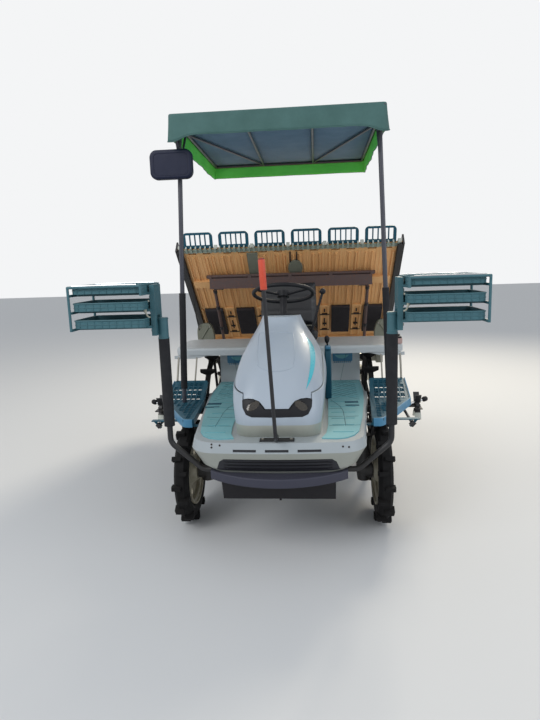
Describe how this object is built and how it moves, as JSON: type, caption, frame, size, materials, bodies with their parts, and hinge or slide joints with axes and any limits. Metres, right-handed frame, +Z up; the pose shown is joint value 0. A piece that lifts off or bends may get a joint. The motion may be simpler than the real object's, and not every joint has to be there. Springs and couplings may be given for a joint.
{
  "type": "riding rice transplanter",
  "caption": "Riding rice transplanter with lugged wheels, white hood, fabric canopy, swing-out seedling racks and a raised planting section.",
  "frame": {"origin": "on the ground at the middle of the overall length and width", "axes": "+Z up, the machine drives towards -Y, and +X is the driver's left"},
  "size_m": [2.15, 3.09, 2.54],
  "materials": {
    "frame_paint": "black chassis enamel",
    "cast_case": "grey painted casting",
    "shell_white": "moulded white panel",
    "black_plastic": "moulded black",
    "teal_rubber": "ribbed mat",
    "lens": "clear lamp lens",
    "seat_vinyl": "black vinyl",
    "seat_frame": "black enamel",
    "fender_beige": "moulded beige grey",
    "step_teal": "moulded dark teal",
    "canopy_fabric": "green coated cloth",
    "canopy_tube": "dark enamel tube",
    "foam_sleeve": "black foam sleeve",
    "pole": "black pole, orange tip",
    "rack_teal": "teal enamel",
    "tray_teal": "moulded teal",
    "tyre_rubber": "black rubber",
    "rim_paint": "pale enamel",
    "paddle_rubber": "rubber on a steel ring",
    "wheel_rim": "moulded grip",
    "link_steel": "grey enamel",
    "rod_chrome": "ground chrome",
    "marker_steel": "black enamel",
    "float_plastic": "blow moulded",
    "rotor_metal": "cast aluminium",
    "table_ochre": "moulded ochre",
    "table_black": "black enamel",
    "belt_black": "ribbed belt",
    "support_steel": "zinc plated pipe"
  },
  "bodies": {
    "chassis": {"frame_rails": "frame_paint", "engine_block": "cast_case", "transmission_case": "cast_case", "rear_axle": "frame_paint", "front_axle": "frame_paint", "deck_shell": "shell_white", "grille_panel": "black_plastic", "front_lip": "black_plastic", "floor_mats": "teal_rubber", "nose_shell": "shell_white", "lamp_bezel": "black_plastic", "headlamps": "lens", "dash_cowl": "black_plastic", "shift_lever": "black_plastic", "seat_base": "seat_frame", "seat_cushion": "seat_vinyl", "seat_back": "seat_vinyl", "rear_cowl": "fender_beige", "rear_fenders": "fender_beige", "side_step_left": "step_teal", "side_step_right": "step_teal", "canopy_cover": "canopy_fabric", "canopy_frame": "canopy_tube", "rack_posts": "frame_paint", "post_sleeves": "foam_sleeve", "mirror": "black_plastic", "centre_pole": "pole"},
    "hood": {"hood_lid": "shell_white"},
    "steering_wheel": {"steering_wheel": "wheel_rim"},
    "tie_rod": {"tie_rod": "frame_paint"},
    "knuckle_left": {"knuckle_left": "frame_paint"},
    "knuckle_right": {"knuckle_right": "frame_paint"},
    "front_wheel_left": {"front_tyre_left": "tyre_rubber", "front_rim_left": "rim_paint"},
    "front_wheel_right": {"front_tyre_right": "tyre_rubber", "front_rim_right": "rim_paint"},
    "rear_wheel_left": {"rear_wheel_left": "paddle_rubber"},
    "rear_wheel_right": {"rear_wheel_right": "paddle_rubber"},
    "rack_left": {"rack_frame_left": "rack_teal", "rack_trays_left": "tray_teal"},
    "rack_right": {"rack_frame_right": "rack_teal", "rack_trays_right": "tray_teal"},
    "marker_left": {"line_marker_left": "marker_steel"},
    "marker_right": {"line_marker_right": "marker_steel"},
    "lower_links": {"lower_links": "link_steel"},
    "upper_link": {"upper_link": "link_steel"},
    "lift_cylinder": {"lift_cylinder": "link_steel"},
    "lift_rod": {"lift_rod": "rod_chrome"},
    "planting": {"planting_frame": "link_steel", "planting_cases": "cast_case", "floats": "float_plastic", "table_support": "support_steel"},
    "table": {"seedling_table": "table_ochre", "table_dividers": "table_ochre", "table_sides": "table_black", "table_belts": "belt_black", "table_hoops": "step_teal"},
    "rotor_left": {"rotor_left": "rotor_metal"},
    "rotor_centre": {"rotor_centre": "rotor_metal"},
    "rotor_right": {"rotor_right": "rotor_metal"}
  },
  "joints": [
    {"name": "steer_left", "type": "hinge", "parent": "chassis", "child": "knuckle_left", "pos_m": [0.5, -0.89, 0.45], "axis": [0, 0, 1], "range_deg": [-35, 35]},
    {"name": "steer_right", "type": "hinge", "parent": "chassis", "child": "knuckle_right", "pos_m": [-0.5, -0.89, 0.45], "axis": [0, 0, 1], "range_deg": [-35, 35]},
    {"name": "tie_rod_slide", "type": "slide", "parent": "chassis", "child": "tie_rod", "axis": [1, 0, 0], "range_m": [-0.065, 0.065]},
    {"name": "steering_column", "type": "hinge", "parent": "chassis", "child": "steering_wheel", "pos_m": [0, -0.5, 1.424], "axis": [0, 0.342, 0.9397], "range_deg": [-540, 540]},
    {"name": "front_spin_left", "type": "hinge", "parent": "knuckle_left", "child": "front_wheel_left", "pos_m": [0.61, -0.89, 0.32318], "axis": [1, 0, 0], "continuous": true},
    {"name": "front_spin_right", "type": "hinge", "parent": "knuckle_right", "child": "front_wheel_right", "pos_m": [-0.61, -0.89, 0.32318], "axis": [1, 0, 0], "continuous": true},
    {"name": "rear_spin_left", "type": "hinge", "parent": "chassis", "child": "rear_wheel_left", "pos_m": [0.625, 0.16, 0.46501], "axis": [1, 0, 0], "continuous": true},
    {"name": "rear_spin_right", "type": "hinge", "parent": "chassis", "child": "rear_wheel_right", "pos_m": [-0.625, 0.16, 0.46501], "axis": [1, 0, 0], "continuous": true},
    {"name": "hood_hinge", "type": "hinge", "parent": "chassis", "child": "hood", "pos_m": [0, -0.752, 1.277], "axis": [-1, 0, 0], "range_deg": [0, 50]},
    {"name": "rack_swing_left", "type": "hinge", "parent": "chassis", "child": "rack_left", "pos_m": [0.62, -1.28, 1.3], "axis": [0, 0, 1], "range_deg": [0, 90]},
    {"name": "rack_swing_right", "type": "hinge", "parent": "chassis", "child": "rack_right", "pos_m": [-0.62, -1.28, 1.3], "axis": [0, 0, -1], "range_deg": [0, 90]},
    {"name": "marker_swing_left", "type": "hinge", "parent": "chassis", "child": "marker_left", "pos_m": [0.8, -0.9, 0.625], "axis": [-0.6613, 0, -0.7501], "range_deg": [0, 90]},
    {"name": "marker_swing_right", "type": "hinge", "parent": "chassis", "child": "marker_right", "pos_m": [-0.8, -0.9, 0.625], "axis": [-0.6613, 0, 0.7501], "range_deg": [0, 90]},
    {"name": "lift", "type": "hinge", "parent": "chassis", "child": "lower_links", "pos_m": [0, 0.38, 0.52], "axis": [1, 0, 0], "range_deg": [-45, 0]},
    {"name": "lift_top", "type": "hinge", "parent": "chassis", "child": "upper_link", "pos_m": [0, 0.38, 0.82], "axis": [1, 0, 0], "range_deg": [-45, 0]},
    {"name": "lift_level", "type": "hinge", "parent": "lower_links", "child": "planting", "pos_m": [0, 0.9814, 0.73889], "axis": [1, 0, 0], "range_deg": [0, 45]},
    {"name": "cylinder_pivot", "type": "hinge", "parent": "chassis", "child": "lift_cylinder", "pos_m": [0, 0.4, 0.33], "axis": [1, 0, 0], "range_deg": [-45, 0]},
    {"name": "cylinder_stroke", "type": "slide", "parent": "lift_cylinder", "child": "lift_rod", "axis": [0, 0.7062, 0.708], "range_m": [-0.13774, 0]},
    {"name": "table_shift", "type": "slide", "parent": "planting", "child": "table", "axis": [1, 0, 0], "range_m": [-0.14, 0.14]},
    {"name": "rotor_spin_centre", "type": "hinge", "parent": "planting", "child": "rotor_centre", "pos_m": [0, 1.375, 0.68], "axis": [1, 0, 0], "continuous": true},
    {"name": "rotor_spin_left", "type": "hinge", "parent": "planting", "child": "rotor_left", "pos_m": [0.6, 1.375, 0.68], "axis": [1, 0, 0], "continuous": true},
    {"name": "rotor_spin_right", "type": "hinge", "parent": "planting", "child": "rotor_right", "pos_m": [-0.6, 1.375, 0.68], "axis": [1, 0, 0], "continuous": true}
  ],
  "couplings": [
    {"joint": "steer_right", "follows": "steer_left", "ratio": 1},
    {"joint": "tie_rod_slide", "follows": "steer_left", "m_per_rad": -0.10329},
    {"joint": "steering_column", "follows": "steer_left", "ratio": 15.429},
    {"joint": "lift_top", "follows": "lift", "ratio": 1},
    {"joint": "lift_level", "follows": "lift", "ratio": -1},
    {"joint": "cylinder_pivot", "follows": "lift", "ratio": 0.82258},
    {"joint": "cylinder_stroke", "follows": "lift", "m_per_rad": 0.17474},
    {"joint": "rotor_spin_left", "follows": "rotor_spin_centre", "ratio": 1},
    {"joint": "rotor_spin_right", "follows": "rotor_spin_centre", "ratio": 1}
  ]
}
